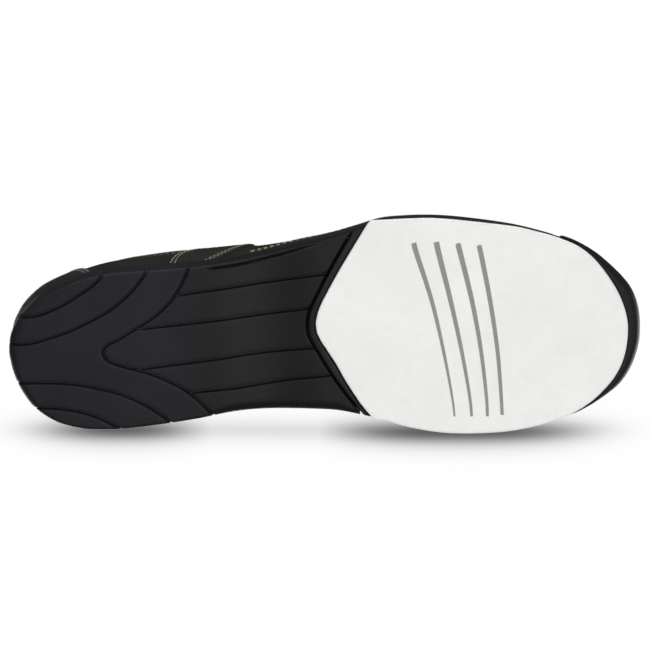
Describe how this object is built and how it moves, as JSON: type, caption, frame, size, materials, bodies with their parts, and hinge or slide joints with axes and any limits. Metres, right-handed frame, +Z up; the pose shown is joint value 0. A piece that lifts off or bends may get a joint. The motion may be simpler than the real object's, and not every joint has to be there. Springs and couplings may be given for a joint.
{
  "type": "bowling shoe",
  "caption": "Low-cut lace-up right bowling shoe with a grooved black rubber heel and shank, a white napped sliding sole pad, padded collar, tongue and tied lace.",
  "frame": {"origin": "on the ground plane, at the middle of the heel's level underside, which is the heel_rest mount, 28 mm in front of the rearmost point of the sole", "axes": "+X from heel to toe, +Y towards the inner (medial) side of this right shoe, +Z up from the ground"},
  "size_m": [0.3009, 0.1046, 0.1118],
  "materials": {
    "outsole_rubber": "satin moulded rubber, charcoal black, fine grain",
    "slide_microfibre": "white napped microfibre with four grey printed bars",
    "midsole_foam": "closed-cell EVA foam, matt",
    "shank_steel": "rolled spring steel",
    "lasting_board": "needled fibre board",
    "insole_fabric": "knitted cover on foam",
    "stiffener": "moulded thermoplastic sheet",
    "upper_leather": "soft full-grain black leather, satin",
    "upper_mesh": "black technical mesh and webbing",
    "overlay_leather": "smooth black leather overlays with tan stitching",
    "lining_fabric": "brushed charcoal lining fabric over foam",
    "lace_cotton": "flat braided black lace",
    "eyelet_metal": "black lacquered metal",
    "aglet_plastic": "black film tip"
  },
  "bodies": {
    "rearfoot": {"heel_outsole": "outsole_rubber", "midsole": "midsole_foam", "shank_plate": "shank_steel", "lasting_board": "lasting_board", "insole": "insole_fabric", "quarter_lateral": "upper_leather", "quarter_medial": "upper_leather", "saddle_lateral": "overlay_leather", "saddle_medial": "overlay_leather", "eyestay_lateral": "overlay_leather", "eyestay_medial": "overlay_leather", "vamp": "upper_mesh", "vamp_lining": "lining_fabric", "toe_overlay": "overlay_leather", "heel_overlay": "overlay_leather", "heel_counter": "stiffener", "quarter_lining": "lining_fabric", "collar_padding": "lining_fabric", "tongue": "upper_mesh", "lace": "lace_cotton", "lace_knot": "lace_cotton", "eyelet_lateral_1": "eyelet_metal", "eyelet_lateral_2": "eyelet_metal", "eyelet_lateral_3": "eyelet_metal", "eyelet_lateral_4": "eyelet_metal", "eyelet_lateral_5": "eyelet_metal", "eyelet_lateral_6": "eyelet_metal", "eyelet_medial_1": "eyelet_metal", "eyelet_medial_2": "eyelet_metal", "eyelet_medial_3": "eyelet_metal", "eyelet_medial_4": "eyelet_metal", "eyelet_medial_5": "eyelet_metal", "eyelet_medial_6": "eyelet_metal"},
    "forefoot": {"forefoot_outsole": "outsole_rubber", "slide_pad": "slide_microfibre", "toe_bumper": "outsole_rubber", "toe_puff": "stiffener"},
    "tongue_tip": {"tongue_top": "lining_fabric"},
    "heel_tab": {"pull_loop": "upper_mesh"},
    "bow_lateral": {"bow_loop_lateral": "lace_cotton"},
    "bow_medial": {"bow_loop_medial": "lace_cotton"},
    "free_end_lateral": {"lace_end_lateral": "lace_cotton", "aglet_lateral": "aglet_plastic"},
    "free_end_medial": {"lace_end_medial": "lace_cotton", "aglet_medial": "aglet_plastic"}
  },
  "joints": [
    {"name": "toe_flex", "type": "hinge", "parent": "rearfoot", "child": "forefoot", "pos_m": [0.164, -0.004, 0.017], "axis": [-0.287, -0.9579, 0], "range_deg": [0, 35], "stiffness_Nm_per_rad": 1.2, "deforming": ["vamp", "vamp_lining", "toe_overlay", "midsole", "lasting_board", "insole"]},
    {"name": "tongue_fold", "type": "hinge", "parent": "rearfoot", "child": "tongue_tip", "pos_m": [0.0837, -0.0056, 0.0956], "axis": [0, 1, 0], "range_deg": [-4, 30], "stiffness_Nm_per_rad": 0.05},
    {"name": "pull_loop_swing", "type": "hinge", "parent": "rearfoot", "child": "heel_tab", "pos_m": [-0.0218, -0.0025, 0.0795], "axis": [0, -1, 0], "range_deg": [-10, 60], "stiffness_Nm_per_rad": 0.02},
    {"name": "bow_lateral_lift", "type": "hinge", "parent": "rearfoot", "child": "bow_lateral", "pos_m": [0.0895, -0.0121, 0.097], "axis": [-1, 0, 0], "range_deg": [0, 55]},
    {"name": "bow_medial_lift", "type": "hinge", "parent": "rearfoot", "child": "bow_medial", "pos_m": [0.0895, 0.0009, 0.097], "axis": [1, 0, 0], "range_deg": [0, 55]},
    {"name": "free_end_lateral_lift", "type": "hinge", "parent": "rearfoot", "child": "free_end_lateral", "pos_m": [0.095, -0.009, 0.0976], "axis": [-1, 0, 0], "range_deg": [0, 50]},
    {"name": "free_end_medial_lift", "type": "hinge", "parent": "rearfoot", "child": "free_end_medial", "pos_m": [0.095, -0.0022, 0.0976], "axis": [1, 0, 0], "range_deg": [0, 50]}
  ]
}
